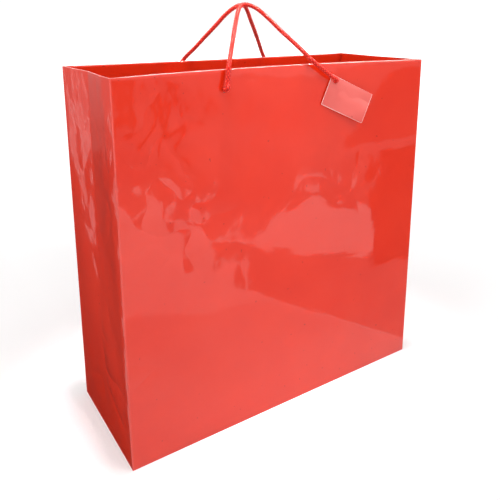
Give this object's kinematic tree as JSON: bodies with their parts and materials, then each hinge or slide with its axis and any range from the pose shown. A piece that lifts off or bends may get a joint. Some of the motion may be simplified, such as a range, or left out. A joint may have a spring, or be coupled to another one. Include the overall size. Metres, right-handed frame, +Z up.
{
  "type": "gift bag",
  "caption": "Large square paper gift bag with gussets, a block bottom, a turned-in rim, rope handles knotted inside and a card tag.",
  "frame": {"origin": "middle of the base, on the surface that the bag stands on", "axes": "+Z up, +X along the wide face to the viewer's right, front face towards -Y"},
  "size_m": [0.5, 0.19, 0.5812],
  "materials": {
    "red_film": "gloss",
    "white_paper": "matte",
    "grey_board": "matte",
    "red_cord": "satin",
    "tag_card": "gloss"
  },
  "bodies": {
    "bag": {"front_panel": "red_film", "front_hem": "red_film", "front_rim_board": "grey_board", "front_seam_lap": "white_paper", "bottom_front_flap": "red_film", "front_left_knot": "red_cord", "front_right_knot": "red_cord", "back_panel": "red_film", "back_hem": "red_film", "back_rim_board": "grey_board", "back_seam_lap": "white_paper", "bottom_back_flap": "red_film", "back_left_knot": "red_cord", "back_right_knot": "red_cord", "left_gusset": "red_film", "left_hem": "red_film", "bottom_left_flap": "red_film", "right_gusset": "red_film", "right_hem": "red_film", "bottom_right_flap": "red_film"},
    "front_legs": {"front_handle_left_leg": "red_cord", "front_handle_right_leg": "red_cord"},
    "front_loop": {"front_handle_loop": "red_cord"},
    "back_legs": {"back_handle_left_leg": "red_cord", "back_handle_right_leg": "red_cord"},
    "back_loop": {"back_handle_loop": "red_cord"},
    "tag": {"gift_tag": "tag_card"},
    "base_board": {"base_board": "grey_board"}
  },
  "joints": [
    {"name": "front_handle_swing", "type": "hinge", "parent": "bag", "child": "front_legs", "pos_m": [0, -0.07456, 0.475], "axis": [1, 0, 0], "range_deg": [0, 170]},
    {"name": "front_handle_bend", "type": "hinge", "parent": "front_legs", "child": "front_loop", "pos_m": [0, -0.07, 0.503], "axis": [1, 0, 0], "range_deg": [0, 41]},
    {"name": "back_handle_swing", "type": "hinge", "parent": "bag", "child": "back_legs", "pos_m": [0, 0.08654, 0.475], "axis": [-1, 0, 0], "range_deg": [0, 170]},
    {"name": "back_handle_bend", "type": "hinge", "parent": "back_legs", "child": "back_loop", "pos_m": [0, 0.086, 0.503], "axis": [-1, 0, 0], "range_deg": [0, 41]},
    {"name": "tag_swing", "type": "hinge", "parent": "bag", "child": "tag", "pos_m": [0.09, -0.07046, 0.475], "axis": [0.1089, 0.9901, -0.0891], "range_deg": [-60, 70]},
    {"name": "base_board_tilt", "type": "hinge", "parent": "bag", "child": "base_board", "pos_m": [0, 0.09, 0.0024], "axis": [-1, 0, 0], "range_deg": [0, 80]}
  ],
  "couplings": [
    {"joint": "front_handle_bend", "follows": "front_handle_swing", "ratio": 0.24},
    {"joint": "back_handle_bend", "follows": "back_handle_swing", "ratio": 0.24}
  ]
}
